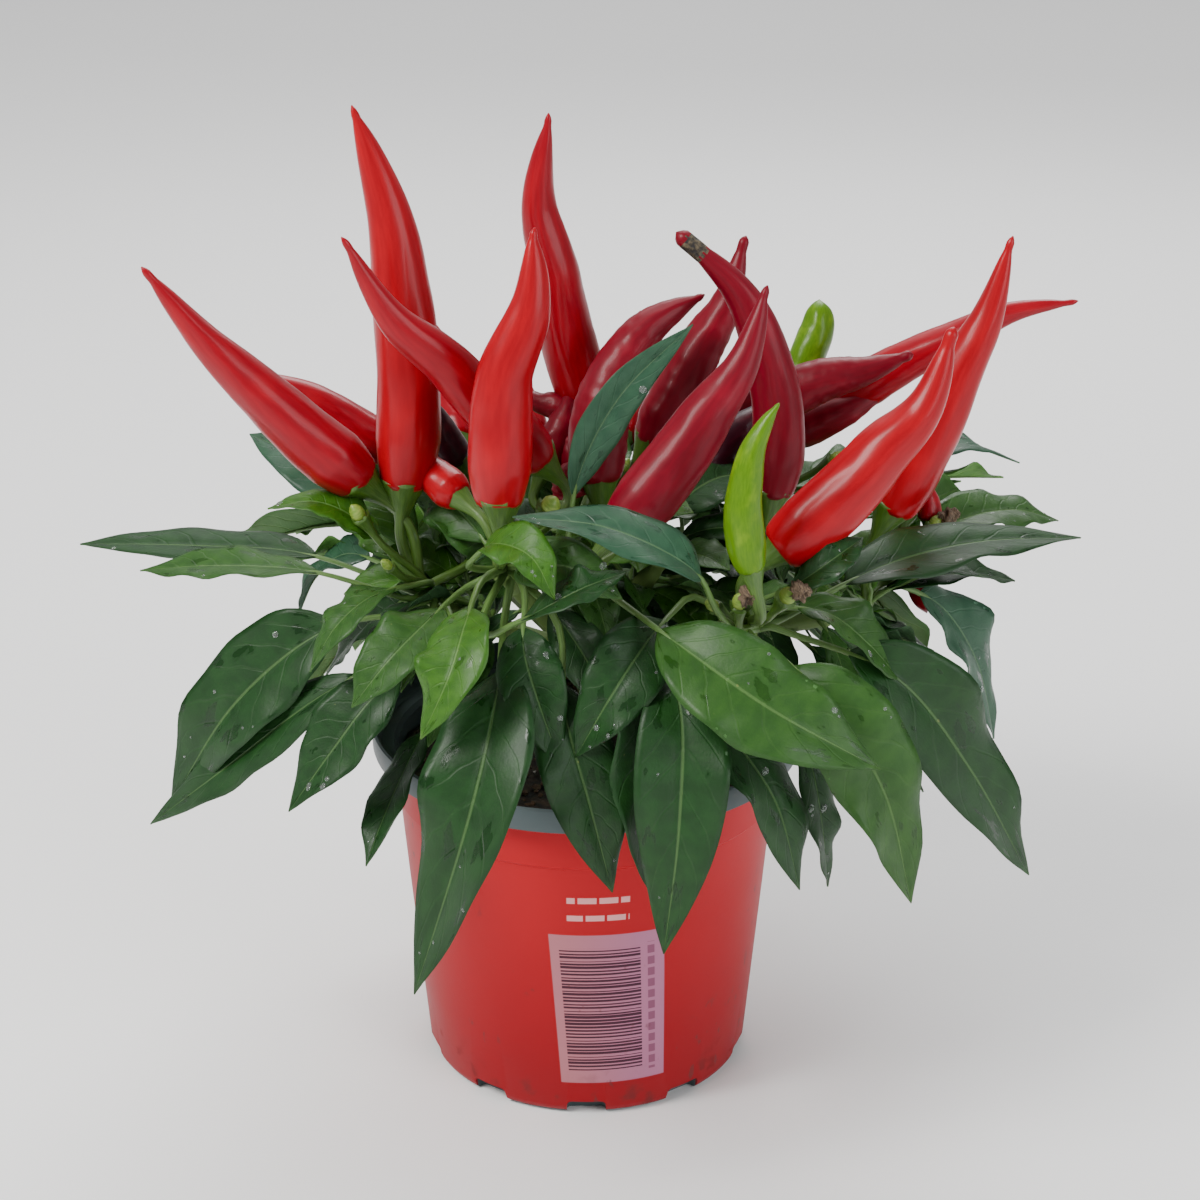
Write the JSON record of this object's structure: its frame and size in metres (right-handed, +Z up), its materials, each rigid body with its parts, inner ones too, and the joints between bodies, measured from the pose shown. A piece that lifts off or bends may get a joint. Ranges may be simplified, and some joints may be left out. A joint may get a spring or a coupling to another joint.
{
  "type": "chilli pepper plant",
  "caption": "Compact potted pepper plant with upright pointed fruits above a drooping skirt of leaves, standing in a round tapered nursery pot",
  "frame": {"origin": "centre of the flat underside of the pot, on the surface that it stands on", "axes": "+Z up along the pot's axis; -Y is the front, where the pot's label and the longest hanging leaves are; +X to the right as seen from the front"},
  "size_m": [0.2407, 0.1957, 0.2372],
  "materials": {
    "pot": "thin printed plastic, red outside with a grey rim and inside, faint scuffs near the foot",
    "soil": "damp dark crumbly potting compost with pale flecks",
    "stem": "green ribbed stems, browner and corky towards the foot",
    "leaf": "thin satin leaf blades with pale midribs and veins, damp in places",
    "ripe_fruit": "glossy taut waxy skin, a few wrinkled",
    "unripe_fruit": "glossy taut waxy skin, lime green"
  },
  "bodies": {
    "root": {"pot": "pot", "compost": "soil", "main_stem": "stem", "bough_left": "stem", "bough_front": "stem", "bough_middle": "stem", "bough_right_middle": "stem", "bough_right_front": "stem", "bough_right": "stem", "bough_back_right": "stem", "bough_back_left": "stem", "bough_back": "stem", "chilli_far_left": "ripe_fruit", "chilli_tall_left": "ripe_fruit", "chilli_left_leaning": "ripe_fruit", "chilli_front_hooked": "ripe_fruit", "chilli_tall_middle": "ripe_fruit", "chilli_dried": "ripe_fruit", "chilli_middle_arched": "ripe_fruit", "chilli_middle_back": "ripe_fruit", "chilli_scarred": "ripe_fruit", "chilli_front_right_leaning": "ripe_fruit", "chilli_maroon": "ripe_fruit", "chilli_wrinkled_right": "ripe_fruit", "chilli_broad_right": "ripe_fruit", "chilli_far_right_back": "ripe_fruit", "chilli_right_upright": "ripe_fruit", "chilli_green_front": "unripe_fruit", "chilli_green_back": "unripe_fruit", "chilli_left_back": "ripe_fruit", "chilli_small_orange": "ripe_fruit", "chilli_hidden_back_left": "ripe_fruit", "chilli_hidden_back": "ripe_fruit", "leaves_left_upper": "leaf", "leaves_left_high": "leaf", "leaves_left_low": "leaf", "leaves_left_inner": "leaf", "leaves_rim_left": "leaf", "leaves_young": "leaf", "leaves_front_left": "leaf", "leaves_front_pair": "leaf", "leaves_front": "leaf", "leaves_front_long": "leaf", "leaves_front_right": "leaf", "leaves_front_right_low": "leaf", "leaves_right_low": "leaf", "leaves_right_drop": "leaf", "leaves_right_side": "leaf", "leaves_right_upper": "leaf", "leaves_right_behind": "leaf", "leaves_back_right_high": "leaf", "leaves_centre": "leaf", "leaves_upright": "leaf", "leaves_back_left_high": "leaf", "leaves_back_left_low": "leaf", "leaves_back_high": "leaf", "leaves_back_low": "leaf", "leaves_back_right_low": "leaf", "leaves_core_left": "leaf", "leaves_core_right": "leaf"}
  },
  "joints": []
}
